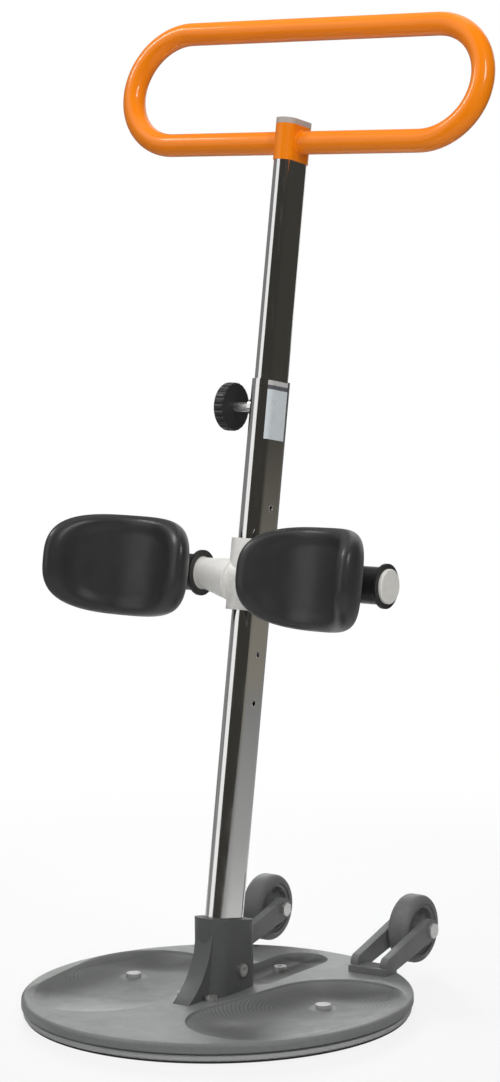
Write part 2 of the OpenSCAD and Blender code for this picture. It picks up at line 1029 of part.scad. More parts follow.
module clamp_knob() {
    color("black")
        on_mast(clamp_level)
            difference() {
                translate([-knob_back, 0, 0])
                    rotate([0, -90, 0])
                        difference() {
                            rotate_extrude()
                                disc_section(knob_radius, 0, knob_thickness, knob_edge, lower_edge_round);
                            for (i = [0 : flute_count - 1])
                                rotate([0, 0, i * 360 / flute_count])
                                    translate([knob_radius + flute_radius / 2, 0, -overshoot])
                                        cylinder(r = flute_radius, h = knob_thickness + 2 * overshoot);
                        }
                bar_x(clamp_radius, -knob_back - knob_seat, -knob_back + overshoot);
            }
}

// Crossbar arms and their barrel, in the carriage's own frame
module carriage_arms() {
    bar_x(crossbar_radius, -sleeve_side, sleeve_side);
    for (side = [0, 1])
        mirror([side, 0, 0]) {
            translate([arm_cone_end, 0, 0])
                rotate([0, -90 - arm_droop, 0])
                    cylinder(
                        r1 = crossbar_radius - sliding_fit,
                        r2 = arm_root_radius,
                        h = arm_cone_end - arm_cone_start
                    );
            bar_x(crossbar_radius, sleeve_side, crossbar_end);
        }
}

module carriage() {
    color("ivory")
        difference() {
            union() {
                on_mast(carriage_height - sleeve_below)
                    linear_extrude(sleeve_height)
                        oval(sleeve_size);
                on_mast(carriage_height)
                    translate([0, -crossbar_offset, 0])
                        carriage_arms();
            }
            on_mast(carriage_height - 2 * sleeve_height)
                linear_extrude(4 * sleeve_height)
                    oval(outer_size + [1, 1] * 2 * sliding_fit);
            on_mast(carriage_height)
                translate([0, -crossbar_offset, 0])
                    for (side = [0, 1])
                        mirror([side, 0, 0])
                            bar_x(crossbar_bore_radius, arm_bore_start, crossbar_end + overshoot);
            at_index(index_on)
                bar_x(pin_radius + running_fit, 0, sleeve_side + overshoot);
        }
}

module crossbar_caps() {
    color("lightgray")
        on_mast(carriage_height)
            translate([0, -crossbar_offset, 0])
                for (side = [0, 1])
                    mirror([side, 0, 0]) {
                        translate([crossbar_end, 0, 0])
                            rotate([0, 90, 0])
                                rotate_extrude()
                                    disc_section(end_cap_radius, 0, end_cap, lower_edge_round, 0.5);
                        bar_x(crossbar_bore_radius, crossbar_end - end_cap_plug, crossbar_end + end_cap / 2);
                    }
}

module arm_sleeves() {
    color("dimgray")
        on_mast(carriage_height)
            translate([0, -crossbar_offset, 0])
                for (side = [0, 1])
                    mirror([side, 0, 0])
                        difference() {
                            bar_x(hub_sleeve_radius, hub_start, hub_end);
                            bar_x(crossbar_radius + running_fit, hub_start - overshoot, hub_end + overshoot);
                        }
}

module plunger_housing() {
    color("silver")
        at_index(index_on)
            difference() {
                bar_x(housing_radius, sleeve_side, housing_end);
                bar_x(spring_room_radius, sleeve_side - overshoot, housing_end - housing_cap);
                bar_x(pin_radius + running_fit, sleeve_side, housing_end + overshoot);
            }
}

module plunger_pin() {
    color("silver")
        at_index(index_on) {
            bar_x(pin_radius, pin_tip, pin_end);
            bar_x(pin_collar_radius, pin_collar_x, pin_collar_x + pin_collar);
        }
}

module plunger_knob() {
    color("black")
        at_index(index_on)
            difference() {
                translate([plunger_knob_x, 0, 0])
                    rotate([0, 90, 0])
                        rotate_extrude()
                            disc_section(plunger_knob_radius, 0, plunger_knob_length,
                                plunger_knob_edge, lower_edge_round);
                bar_x(pin_radius, plunger_knob_x - overshoot, pin_end);
            }
}

// Middle line of the spring, in turns from its start
function spring_middle(turn) = [
    spring_start + spring_length * turn / spring_turns,
    spring_radius * cos(360 * turn),
    spring_radius * sin(360 * turn)
];

// Corner of the spring wire's section at a turn
function spring_corner(turn, corner) =
    let (
        out = spring_wire_radius * cos(360 * corner / spring_sides),
        along = spring_wire_radius * sin(360 * corner / spring_sides)
    )
    spring_middle(turn) + [along, out * cos(360 * turn), out * sin(360 * turn)];

spring_rings = spring_turns * spring_steps;
spring_gap = min([
    for (i = [0 : spring_rings - spring_steps])
        norm(spring_middle((i + spring_steps) / spring_steps) - spring_middle(i / spring_steps))
]) - 2 * spring_wire_radius;
echo(str("least gap of the spring to itself, mm: ", spring_gap));

module plunger_spring() {
    last = spring_rings * spring_sides;
    color("gray")
        at_index(index_on)
            polyhedron(
                points = [
                    for (i = [0 : spring_rings], c = [0 : spring_sides - 1])
                        spring_corner(i / spring_steps, c)
                ],
                faces = concat(
                    [
                        for (i = [0 : spring_rings - 1], c = [0 : spring_sides - 1], half = [0, 1])
                            let (
                                next = (c + 1) % spring_sides,
                                a = i * spring_sides + c,
                                b = i * spring_sides + next,
                                d = a + spring_sides,
                                e = b + spring_sides
                            )
                            half == 0 ? [a, b, e] : [a, e, d]
                    ],
                    [for (c = [1 : spring_sides - 2]) [0, c + 1, c]],
                    [for (c = [1 : spring_sides - 2]) [last, last + c, last + c + 1]]
                )
            );
}

// Places children at a leg support's hub, mirrored for the left one
module at_support(side) {
    on_mast(carriage_height)
        mirror([side < 0 ? 1 : 0, 0, 0])
            translate([hub_middle, -crossbar_offset, 0])
                children();
}

// Places children at the middle of a pad's back half, toed in, with the pad's front on -Y
module at_pad() {
    translate([pad_outset, -pad_middle, pad_lift])
        rotate([0, 0, -pad_toe_in])
            children();
}

// One flared lip of the hub's section, with its face at zero and its neck above
module hub_lip_section(lip_radius) {
    flare = lip_radius - hub_neck_radius;
    translate([hub_bore_radius, 0])
        square([lip_radius - hub_bore_radius, hub_lip]);
    difference() {
        translate([hub_bore_radius, hub_lip])
            square([lip_radius - hub_bore_radius, flare]);
        translate([lip_radius, hub_lip + flare])
            circle(flare);
    }
}

// Half section of the bobbin-shaped hub, along its axis from the mast outwards
module hub_section() {
    length = hub_end - hub_start;
    translate([0, -length / 2]) {
        translate([hub_bore_radius, 0])
            square([hub_neck_radius - hub_bore_radius, length]);
        hub_lip_section(hub_inner_lip_diameter / 2);
        translate([0, length])
            mirror([0, 1])
                hub_lip_section(hub_outer_lip_diameter / 2);
    }
}

module hub(side) {
    color("black")
        at_support(side)
            difference() {
                union() {
                    rotate([0, 90, 0])
                        rotate_extrude()
                            hub_section();
                    at_pad()
                        pad_carrier();
                }
                bar_x(hub_bore_radius, -hub_middle, hub_middle);
            }
}

// Curved back plate of a pad, round the pad's own axis
module pad_carrier() {
    translate([0, -pad_radius, -plate_height / 2])
        rotate([0, 0, 90 - plate_half_angle])
            rotate_extrude(angle = 2 * plate_half_angle)
                translate([plate_radius, 0])
                    square([plate_thickness, plate_height]);
}

// Signed power, for a rounded-box outline
function soft_power(value, power) = sign(value) * pow(abs(value), power);

// A point of the pad's skin: its share of the way out to the edge, its turn and its offset
function pad_point(share, turn, offset) =
    let (
        along = share * pad_wrap * soft_power(cos(turn), 2 / pad_corner),
        rise = share * pad_height / 2 * soft_power(sin(turn), 2 / pad_corner),
        radius = pad_radius + offset
    )
    [radius * sin(along), radius * cos(along) - pad_radius, rise];

// Half thickness of the pad, round at its edge
function pad_back(share) = pad_half * sqrt(1 - pow(share, pad_edge_power));

// How much of the sunk panel's depth is left at a share of the way out
function pad_sunk(share) =
    let (way = max(0, min(1, (share - pad_dish_edge[0]) / (pad_dish_edge[1] - pad_dish_edge[0]))))
    1 - way * way * (3 - 2 * way);

function pad_front(share) = pad_dish * pad_sunk(share) - pad_back(share);

function pad_share(ring) = sin(90 * ring / pad_rings);

// Rings of the pad's skin from the front's middle over the rim to the back's middle
pad_skin = concat(
    [pad_point(0, 0, pad_front(0))],
    [
        for (ring = [1 : pad_rings], k = [0 : pad_sides - 1])
            pad_point(pad_share(ring), 360 * k / pad_sides, pad_front(pad_share(ring)))
    ],
    [
        for (ring = [pad_rings - 1 : -1 : 1], k = [0 : pad_sides - 1])
            pad_point(pad_share(ring), 360 * k / pad_sides, pad_back(pad_share(ring)))
    ],
    [pad_point(0, 0, pad_back(0))]
);

pad_strips = 2 * pad_rings - 2;
pad_last = 1 + (pad_strips + 1) * pad_sides;
pad_faces = concat(
    [for (k = [0 : pad_sides - 1]) [0, 1 + k, 1 + (k + 1) % pad_sides]],
    [
        for (strip = [0 : pad_strips - 1], k = [0 : pad_sides - 1], half = [0, 1])
            let (
                next = (k + 1) % pad_sides,
                a = 1 + strip * pad_sides + k,
                b = 1 + strip * pad_sides + next,
                d = a + pad_sides,
                e = b + pad_sides
            )
            half == 0 ? [a, e, b] : [a, d, e]
    ],
    [
        for (k = [0 : pad_sides - 1])
            [pad_last, pad_last - pad_sides + (k + 1) % pad_sides, pad_last - pad_sides + k]
    ]
);

module pad(side) {
    color("dimgray")
        at_support(side)
            at_pad()
                polyhedron(points = pad_skin, faces = pad_faces);
}

module left_hub() {
    hub(-1);
}

module right_hub() {
    hub(1);
}

module left_pad() {
    pad(-1);
}

module right_pad() {
    pad(1);
}

floor_mat();
floor_plate();
lower_race();
pivot_spindle();
pivot_washer();
pivot_screw();
ball_cage();
bearing_balls();
foot_disc();
upper_race();
pivot_bush();
foot_studs();
base_screws();
mast_socket();
socket_bolt();
outer_tube();
guide_bush();
clamp_boss();
index_bushes();
left_fork();
right_fork();
fork_screws();
left_axle();
right_axle();
inner_tube();
lower_glide();
handle_collar();
handle_loop();
mast_cap();
clamp_shoe();
clamp_screw();
clamp_knob();
carriage();
plunger_housing();
crossbar_caps();
arm_sleeves();
plunger_pin();
plunger_knob();
plunger_spring();
left_hub();
left_pad();
right_hub();
right_pad();
left_tyre();
left_wheel_hub();
left_wheel_bush();
right_tyre();
right_wheel_hub();
right_wheel_bush();
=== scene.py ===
import math

import bmesh
import bpy
from mathutils import Matrix, Vector


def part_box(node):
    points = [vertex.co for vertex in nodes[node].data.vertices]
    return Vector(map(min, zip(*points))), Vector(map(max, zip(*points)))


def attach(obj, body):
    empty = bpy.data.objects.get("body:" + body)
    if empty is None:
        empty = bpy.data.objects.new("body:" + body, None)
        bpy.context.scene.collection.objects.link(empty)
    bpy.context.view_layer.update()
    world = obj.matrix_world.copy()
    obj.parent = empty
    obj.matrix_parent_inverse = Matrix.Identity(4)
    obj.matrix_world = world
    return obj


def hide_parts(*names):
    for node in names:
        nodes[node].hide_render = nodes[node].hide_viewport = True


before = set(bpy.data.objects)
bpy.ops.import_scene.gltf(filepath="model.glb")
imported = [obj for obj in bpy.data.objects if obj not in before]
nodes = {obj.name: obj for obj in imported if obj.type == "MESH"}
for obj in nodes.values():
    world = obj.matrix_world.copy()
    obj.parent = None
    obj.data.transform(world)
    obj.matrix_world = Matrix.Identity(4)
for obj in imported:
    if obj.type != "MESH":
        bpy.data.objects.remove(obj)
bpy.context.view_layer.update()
scene = bpy.context.scene

# Places shared with the CAD, in metres

MAST_LEAN = math.radians(10)
MAST_FOOT_Y = -0.0033
TUBE_HALF = 0.0125
HANDLE_LEVEL = 0.892
BAR_RADIUS = 0.012
PAD_LEVEL = 0.445
STUD_X = 0.118
STUD_Y = 0.016


def on_mast(x, y, s):
    """A point of the mast's own frame: x across, y from front to back, s up along the tubes."""
    return Vector((
        x,
        MAST_FOOT_Y + y * math.cos(MAST_LEAN) + s * math.sin(MAST_LEAN),
        s * math.cos(MAST_LEAN) - y * math.sin(MAST_LEAN),
    ))


# Camera at the photograph's angle

VIEW_RIGHT = Vector((0.825654, 0.564082, -0.010405))
VIEW_UP = Vector((-0.055219, 0.099152, 0.993539))
VIEW_AHEAD = Vector((-0.561469, 0.819744, -0.113013))
VIEW_PLACE = Vector((1.775006, -2.524299, 0.832217))

camera_data = bpy.data.cameras.new("camera")
camera_data.lens = 103.0
camera_data.sensor_width = 36
camera_data.sensor_fit = "AUTO"
camera = bpy.data.objects.new("camera", camera_data)
scene.collection.objects.link(camera)
turn = Matrix((VIEW_RIGHT, VIEW_UP, -VIEW_AHEAD)).transposed().to_4x4()
camera.matrix_world = Matrix.Translation(VIEW_PLACE) @ turn
scene.camera = camera
scene.view_settings.view_transform = "Standard"


# Mesh helpers

def add_mesh(name, bm, smooth=True):
    """Turns a bmesh into an object whose place is in its mesh."""
    bmesh.ops.recalc_face_normals(bm, faces=bm.faces)
    mesh = bpy.data.meshes.new(name)
    bm.to_mesh(mesh)
    bm.free()
    for face in mesh.polygons:
        face.use_smooth = smooth
    piece = bpy.data.objects.new(name, mesh)
    scene.collection.objects.link(piece)
    return piece


def skin_rings(bm, rings, close_around=True):
    """Joins rows of vertices, each the same length, with quads."""
    for low, high in zip(rings, rings[1:]):
        count = len(low)
        for i in range(count if close_around else count - 1):
            k = (i + 1) % count
            bm.faces.new((low[i], low[k], high[k], high[i]))


# Shader node helpers

def add_node(tree, kind, **values):
    """Adds a node and sets its sockets by name."""
    node = tree.nodes.new(kind)
    for name, value in values.items():
        node.inputs[name].default_value = value
    return node


def fade(tree, value, low, high, to_low, to_high):
    """A smooth step of a value between two places."""
    node = tree.nodes.new("ShaderNodeMapRange")
    node.interpolation_type = "SMOOTHSTEP"
    tree.links.new(value, node.inputs["Value"])
    node.inputs["From Min"].default_value = low
    node.inputs["From Max"].default_value = high
    node.inputs["To Min"].default_value = to_low
    node.inputs["To Max"].default_value = to_high
    return node.outputs["Result"]


# Materials

class Finish:
    """One procedural material, built up in layers on a Principled shader, in the part's own coordinates."""

    BEVEL_SAMPLES = 4
    LEAST_WEAR = 0.0008

    def __init__(self, name, color, rough, metal=0.0, specular=0.5, coat=0.0, coat_rough=0.1, edge=0.0006):
        self.mat = bpy.data.materials.new(name)
        self.mat.use_nodes = True
        self.tree = self.mat.node_tree
        self.bsdf = self.tree.nodes["Principled BSDF"]
        self.plain = (*color, 1)
        self.bsdf.inputs["Base Color"].default_value = self.plain
        self.bsdf.inputs["Roughness"].default_value = rough
        self.bsdf.inputs["Metallic"].default_value = metal
        self.bsdf.inputs["Specular IOR Level"].default_value = specular
        self.bsdf.inputs["Coat Weight"].default_value = coat
        self.bsdf.inputs["Coat Roughness"].default_value = coat_rough
        self.place = self.add("ShaderNodeTexCoord").outputs["Object"]
        self.color = None
        self.edge = edge
        self.normal = self.rounded(edge) if edge else None

    def add(self, kind, **values):
        return add_node(self.tree, kind, **values)

    def join(self, out, into):
        self.tree.links.new(out, into)

    def rounded(self, radius):
        """The normal of edges rounded by a radius."""
        node = self.add("ShaderNodeBevel", Radius=radius)
        node.samples = self.BEVEL_SAMPLES
        return node.outputs["Normal"]

    def math(self, how, a, b=None, c=None, clamp=False):
        node = self.add("ShaderNodeMath")
        node.operation = how
        node.use_clamp = clamp
        for spot, value in enumerate((a, b, c)):
            if value is None:
                continue
            if isinstance(value, (int, float)):
                node.inputs[spot].default_value = value
            else:
                self.join(value, node.inputs[spot])
        return node.outputs[0]

    def times(self, a, b):
        return self.math("MULTIPLY", a, b)

    def squares(self, a, b):
        """The sum of two values' squares."""
        return self.math("ADD", self.times(a, a), self.times(b, b))

    def step(self, value, low, high, to_low=0.0, to_high=1.0):
        return fade(self.tree, value, low, high, to_low, to_high)

    def stretch(self, scale):
        node = self.add("ShaderNodeMapping", Scale=scale)
        self.join(self.place, node.inputs["Vector"])
        return node.outputs["Vector"]

    def noise(self, scale, detail=3.0, stretch=None):
        node = self.add("ShaderNodeTexNoise", Scale=scale, Detail=detail)
        self.join(self.stretch(stretch) if stretch else self.place, node.inputs["Vector"])
        return node.outputs["Fac"]

    def cells(self, scale):
        node = self.add("ShaderNodeTexVoronoi", Scale=scale)
        self.join(self.place, node.inputs["Vector"])
        return node.outputs["Distance"]

    def axes(self):
        node = self.add("ShaderNodeSeparateXYZ")
        self.join(self.place, node.inputs[0])
        return node.outputs

    def upward(self, low, high):
        """One where the surface looks up."""
        split = self.add("ShaderNodeSeparateXYZ")
        self.join(self.add("ShaderNodeNewGeometry").outputs["Normal"], split.inputs[0])
        return self.step(split.outputs[2], low, high)

    def tint(self, amount, color):
        """Mixes the colour so far towards another by an amount from 0 to 1."""
        mix = self.add("ShaderNodeMix")
        mix.data_type = "RGBA"
        self.join(amount, mix.inputs[0])
        if self.color is None:
            mix.inputs[6].default_value = self.plain
        else:
            self.join(self.color, mix.inputs[6])
        mix.inputs[7].default_value = (*color, 1)
        self.color = mix.outputs[2]

    def bump(self, height, distance, strength=1.0):
        node = self.add("ShaderNodeBump", Distance=distance, Strength=strength)
        self.join(height, node.inputs["Height"])
        if self.normal is not None:
            self.join(self.normal, node.inputs["Normal"])
        self.normal = node.outputs["Normal"]

    def gloss(self, value, low, high, to_low, to_high):
        self.join(self.step(value, low, high, to_low, to_high), self.bsdf.inputs["Roughness"])

    def wear(self, color, amount):
        """Lightens the edges, where the rounded normal turns away from the flat one."""
        dot = self.add("ShaderNodeVectorMath")
        dot.operation = "DOT_PRODUCT"
        self.join(self.rounded(max(self.edge, self.LEAST_WEAR)), dot.inputs[0])
        self.join(self.add("ShaderNodeNewGeometry").outputs["Normal"], dot.inputs[1])
        worn = self.step(dot.outputs["Value"], 0.86, 0.99, amount, 0.0)
        patchy = self.step(self.noise(90.0), 0.35, 0.65, 0.35, 1.0)
        self.tint(self.times(worn, patchy), color)

    def done(self, *names):
        """Joins the layers to the shader and gives the material to these nodes of the CAD."""
        if self.color is not None:
            self.join(self.color, self.bsdf.inputs["Base Color"])
        if self.normal is not None:
            self.join(self.normal, self.bsdf.inputs["Normal"])
        for name in names:
            slots = nodes[name].data.materials
            slots.clear()
            slots.append(self.mat)


def shade(color, by):
    """A colour made darker or lighter."""
    return tuple(min(1.0, c * by) for c in color)


def moulded(name, color, rough, grain=0.00005, edge=0.0008, worn=1.5):
    """Grained plastic: faint flow marks, a sparked mould grain, handling marks and lighter edges."""
    f = Finish(name, color, rough, specular=0.45, edge=edge)
    f.tint(f.step(f.noise(7.0, 4.0), 0.35, 0.7, 0.0, 0.6), shade(color, 1.13))
    f.tint(f.step(f.noise(160.0, 2.0), 0.45, 0.75, 0.0, 0.35), shade(color, 0.86))
    f.wear(shade(color, worn), 0.5)
    f.gloss(f.noise(26.0, 5.0), 0.3, 0.72, rough - 0.07, rough + 0.1)
    f.bump(f.noise(1500.0, 2.0), grain, 0.7)
    f.bump(f.noise(60.0, 2.0), 0.00012, 0.25)
    return f


# Foot disc: two soft foot hollows with fine ribs in circles round each stud, a channel behind the mast, and painted
# shade in the hollows and the channel

GREY = (0.174, 0.180, 0.177)
HEEL = (0.100, -0.070)
TOE = (0.116, 0.040)
HOLLOW_RADIUS = 0.074
HOLLOW_RELIEF = 0.045
CHANNEL_START = (0.0, 0.062)
CHANNEL_END = (0.0, 0.152)
CHANNEL_RADIUS = 0.030
CHANNEL_RELIEF = 0.020
RELIEF_POWER = 1.3
RIB_PITCH = 0.0042
RIB_HEIGHT = 0.00010
RIB_START = (0.012, 0.016)
SUNK_LEVEL = 0.0178
TOP_LEVEL = 0.0190


def hollow(finish, x, y, start, end, radius):
    """How deep a place lies in a long bowl, 0 at the rim and 1 on its middle line, and how far along that line."""
    run_x = end[0] - start[0]
    run_y = end[1] - start[1]
    square = run_x ** 2 + run_y ** 2
    hx = finish.math("SUBTRACT", x, start[0])
    hy = finish.math("SUBTRACT", y, start[1])
    along = finish.math("MULTIPLY_ADD", hx, run_x / square, finish.times(hy, run_y / square), clamp=True)
    qx = finish.math("MULTIPLY_ADD", along, -run_x, hx)
    qy = finish.math("MULTIPLY_ADD", along, -run_y, hy)
    return finish.math("MULTIPLY_ADD", finish.squares(qx, qy), -1 / radius ** 2, 1.0, clamp=True), along


disc = moulded("foot_disc_moulding", GREY, 0.46)
x, y, z = disc.axes()
x = disc.math("ABSOLUTE", x)
bowl, along = hollow(disc, x, y, HEEL, TOE, HOLLOW_RADIUS)
groove = hollow(disc, x, y, CHANNEL_START, CHANNEL_END, CHANNEL_RADIUS)[0]
for form, relief in ((bowl, HOLLOW_RELIEF), (groove, CHANNEL_RELIEF)):
    disc.bump(disc.times(disc.math("POWER", form, RELIEF_POWER), -1.0), relief)
# One on the sunk floors only, then the ribs, and painted shade in the hollows, the rib valleys and the channel
sunk = disc.times(disc.step(z, SUNK_LEVEL, TOP_LEVEL, 1.0, 0.0), disc.upward(0.75, 0.9))
reach = disc.math("SQRT", disc.squares(disc.math("SUBTRACT", x, STUD_X), disc.math("SUBTRACT", y, STUD_Y)))
wave = disc.math("SINE", disc.times(reach, 2 * math.pi / RIB_PITCH))
ribbed = disc.times(sunk, disc.times(disc.step(reach, *RIB_START), disc.step(bowl, 0.0, 0.05)))
valley = disc.step(wave, -0.9, 0.5, 1.0, 0.0)
# Painted shade: darker towards each hollow's middle line and its toe end, and a little darker in the rib valleys
deep = disc.times(disc.math("POWER", bowl, 1.6), disc.step(along, 0.0, 0.55, 0.5, 1.0))
painted_shade = disc.math("MULTIPLY_ADD", deep, 0.68, disc.times(valley, 0.06))
disc.tint(disc.times(ribbed, painted_shade), shade(GREY, 0.38))
# Painted shade, dark in the channel behind the mast
disc.tint(disc.times(sunk, disc.times(disc.math("POWER", groove, 0.5), 0.95)), shade(GREY, 0.20))
disc.bump(disc.times(wave, ribbed), RIB_HEIGHT)
disc.done("foot_disc")

# Grey mouldings of the socket, forks, wheels and floor plate. The socket and the forks are darker than the disc, partly
# painted shade on faces that turn from the light
moulded("socket_moulding", (0.088, 0.091, 0.09), 0.42, worn=2.0).done("mast_socket")
moulded("fork_moulding", (0.148, 0.152, 0.150), 0.48, worn=1.7).done(
    "left_fork", "right_fork", "left_wheel_hub", "right_wheel_hub",
)
moulded("floor_plate_moulding", (0.38, 0.385, 0.387), 0.55, worn=1.3).done("floor_plate")

# Floor mat: rubber with fine round ribs
MAT_RIB_PITCH = 0.004
mat = Finish("mat_rubber", (0.035, 0.035, 0.036), 0.8, specular=0.3)
mat.tint(mat.step(mat.noise(40.0, 5.0), 0.45, 0.8, 0.0, 0.5), (0.09, 0.088, 0.084))
x, y = mat.axes()[:2]
reach = mat.math("SQRT", mat.squares(x, y))
mat.bump(mat.math("SINE", mat.times(reach, 2 * math.pi / MAT_RIB_PITCH)), 0.0004, 0.8)
mat.bump(mat.noise(900.0, 2.0), 0.00008, 0.6)
mat.done("floor_mat")

# Chrome tubes: a mirror with drawn lines along the tube and a few dull marks
chrome = Finish("chrome_tube", (0.80, 0.80, 0.79), 0.07, metal=1.0, edge=0.0)
haze = chrome.noise(18.0, 5.0)
drawn = chrome.noise(260.0, 3.0, stretch=(1.0, 1.0, 0.02))
chrome.tint(chrome.step(haze, 0.55, 0.8, 0.0, 0.5), (0.66, 0.65, 0.63))
chrome.gloss(chrome.math("ADD", haze, chrome.times(drawn, 0.6)), 0.6, 1.0, 0.045, 0.15)
chrome.bump(drawn, 0.00001, 0.5)
chrome.done("outer_tube", "inner_tube", "clamp_boss")

# Bright zinc screws and pins with a slight blotch
zinc = Finish("bright_fastener", (0.86, 0.86, 0.85), 0.4, metal=1.0, edge=0.0005)
zinc.tint(zinc.step(zinc.noise(500.0, 3.0), 0.4, 0.7, 0.0, 0.5), (0.72, 0.72, 0.71))
zinc.gloss(zinc.noise(420.0, 3.0), 0.3, 0.7, 0.34, 0.5)
zinc.bump(zinc.noise(1800.0, 2.0), 0.00002, 0.6)
zinc.done(
    "pivot_washer", "pivot_screw", "base_screws", "socket_bolt", "index_bushes",
    "fork_screws", "left_axle", "right_axle", "clamp_screw", "plunger_housing",
)

# Satin studs of the foot hollows
satin = Finish("satin_stud", (0.34, 0.345, 0.34), 0.46)
satin.tint(satin.step(satin.noise(900.0, 2.0), 0.35, 0.7, 0.0, 0.4), (0.29, 0.295, 0.29))
satin.gloss(satin.noise(300.0, 3.0), 0.3, 0.7, 0.40, 0.54)
satin.bump(satin.noise(2400.0, 2.0), 0.00001, 0.5)
satin.done("foot_studs")

# Ground bearing steel
steel = Finish("bearing_steel", (0.56, 0.56, 0.57), 0.2, metal=1.0, edge=0.0)
steel.tint(steel.step(steel.noise(300.0, 3.0), 0.4, 0.7, 0.0, 0.5), (0.42, 0.42, 0.43))
steel.gloss(steel.noise(500.0, 3.0), 0.3, 0.7, 0.15, 0.3)
steel.done("lower_race", "pivot_spindle", "bearing_balls", "upper_race", "plunger_pin", "plunger_spring")

# Orange powder coat: a faint pigment cloud under a thin gloss
orange = Finish("orange_paint", (0.91, 0.228, 0.002), 0.36, specular=0.22, coat=0.5, coat_rough=0.06, edge=0.0)
orange.tint(orange.step(orange.noise(9.0, 4.0), 0.35, 0.7, 0.0, 0.5), (0.95, 0.25, 0.003))
orange.gloss(orange.noise(30.0, 4.0), 0.3, 0.7, 0.32, 0.44)
orange.done("handle_collar", "handle_loop")

# Off-white carriage, and black knobs and hubs
moulded("white_moulding", (0.86, 0.85, 0.815), 0.4, grain=0.00003, worn=1.12).done("carriage")
moulded("black_moulding", (0.022, 0.022, 0.023), 0.38, worn=3.0).done(
    "clamp_knob", "plunger_knob", "left_hub", "right_hub",
)

# Grey tyres: dusty rubber with paler and darker patches
tyre = Finish("grey_tyre", (0.155, 0.159, 0.157), 0.66, specular=0.35, edge=0.0008)
tyre.tint(tyre.step(tyre.noise(55.0, 5.0), 0.42, 0.75, 0.0, 0.6), (0.195, 0.197, 0.192))
tyre.tint(tyre.step(tyre.noise(500.0, 3.0), 0.5, 0.8, 0.0, 0.4), (0.11, 0.11, 0.108))
tyre.gloss(tyre.noise(60.0, 4.0), 0.3, 0.7, 0.56, 0.76)
tyre.bump(tyre.noise(1100.0, 2.0), 0.00008, 0.7)
tyre.done("left_tyre", "right_tyre")

# Pale bushes, glides and sleeves
moulded("plain_bush", (0.62, 0.61, 0.57), 0.5, edge=0.0004, worn=1.1).done(
    "ball_cage", "pivot_bush", "guide_bush", "lower_glide", "arm_sleeves", "left_wheel_bush", "right_wheel_bush",
)

# Brass shoe of the clamp
brass = Finish("brass_shoe", (0.70, 0.50, 0.20), 0.3, metal=1.0, edge=0.0004)
brass.tint(brass.step(brass.noise(300.0, 3.0), 0.4, 0.7, 0.0, 0.6), (0.50, 0.35, 0.14))
brass.gloss(brass.noise(600.0, 3.0), 0.3, 0.7, 0.22, 0.42)
brass.done("clamp_shoe")

# Grey caps of the crossbar and the mast
moulded("grey_cap", (0.78, 0.77, 0.725), 0.42, worn=1.25).done("crossbar_caps")
moulded("mast_cap_moulding", (0.46, 0.41, 0.375), 0.42, worn=1.25).done("mast_cap")


# Leg pads: moulded foam with a black coated skin, dished in front with a thick rolled rim

PAD_RADIUS = 0.081
PAD_WRAP = math.radians(67)
PAD_HALF_HEIGHT = 0.05175
PAD_HALF_THICK = 0.015
PAD_EDGE_POWER = 6
PAD_DISH = 0.006
PAD_DISH_EDGE = (0.60, 0.94)
PAD_CORNER = 2 / 2.77
PAD_TOE_IN = math.radians(12.8)
PAD_PLACE = (0.11905, -0.05306)
PAD_AROUND = 128
PAD_ROWS = 30
PAD_ROW_POWER = 0.8


def smooth_step(low, high, value):
    way = min(1.0, max(0.0, (value - low) / (high - low)))
    return way * way * (3 - 2 * way)


def signed_power(value, power):
    return math.copysign(abs(value) ** power, value)


def pad_point(side, share, angle, face):
    """A point of the pad's skin: share from the middle to the rim, angle round it, face 1 behind and -1 in front."""
    along = share * PAD_WRAP * signed_power(math.cos(angle), PAD_CORNER)
    rise = share * PAD_HALF_HEIGHT * signed_power(math.sin(angle), PAD_CORNER)
    offset = PAD_HALF_THICK * math.sqrt(max(0.0, 1 - share ** PAD_EDGE_POWER))
    if face < 0:
        offset = PAD_DISH * (1 - smooth_step(*PAD_DISH_EDGE, share)) - offset
    r = PAD_RADIUS + offset
    px = r * math.sin(along)
    py = r * math.cos(along) - PAD_RADIUS
    qx = px * math.cos(PAD_TOE_IN) + py * math.sin(PAD_TOE_IN) + PAD_PLACE[0]
    qy = -px * math.sin(PAD_TOE_IN) + py * math.cos(PAD_TOE_IN) + PAD_PLACE[1]
    return on_mast(side * qx, qy, PAD_LEVEL + rise)


def make_pad(name, side):
    """Rings of the front face, the rim and the back face, closer together where the skin turns at the rim."""
    bm = bmesh.new()
    angles = [2 * math.pi * (i + 0.5) / PAD_AROUND for i in range(PAD_AROUND)]
    shares = [math.sin(0.5 * math.pi * i / PAD_ROWS) ** PAD_ROW_POWER for i in range(1, PAD_ROWS)]
    front_pole = bm.verts.new(pad_point(side, 0.0, 0.0, -1))
    back_pole = bm.verts.new(pad_point(side, 0.0, 0.0, 1))
    spots = [(share, -1) for share in shares] + [(1.0, 1)] + [(share, 1) for share in reversed(shares)]
    rows = [[bm.verts.new(pad_point(side, share, a, face)) for a in angles] for share, face in spots]
    skin_rings(bm, rows)
    for pole, ring in ((front_pole, rows[0]), (back_pole, rows[-1])):
        for i in range(PAD_AROUND):
            bm.faces.new((pole, ring[i], ring[(i + 1) % PAD_AROUND]))
    return add_mesh(name, bm)


skin = Finish("pad_skin", (0.031, 0.031, 0.032), 0.34, specular=0.45, edge=0.0)
skin.tint(skin.step(skin.noise(14.0, 5.0), 0.45, 0.75, 0.0, 0.5), (0.042, 0.041, 0.041))
skin.gloss(skin.noise(35.0, 4.0), 0.3, 0.7, 0.28, 0.42)
skin.bump(skin.cells(900.0), 0.00009, 0.6)
skin.bump(skin.noise(45.0, 2.0), 0.0004, 0.3)
skin.done()

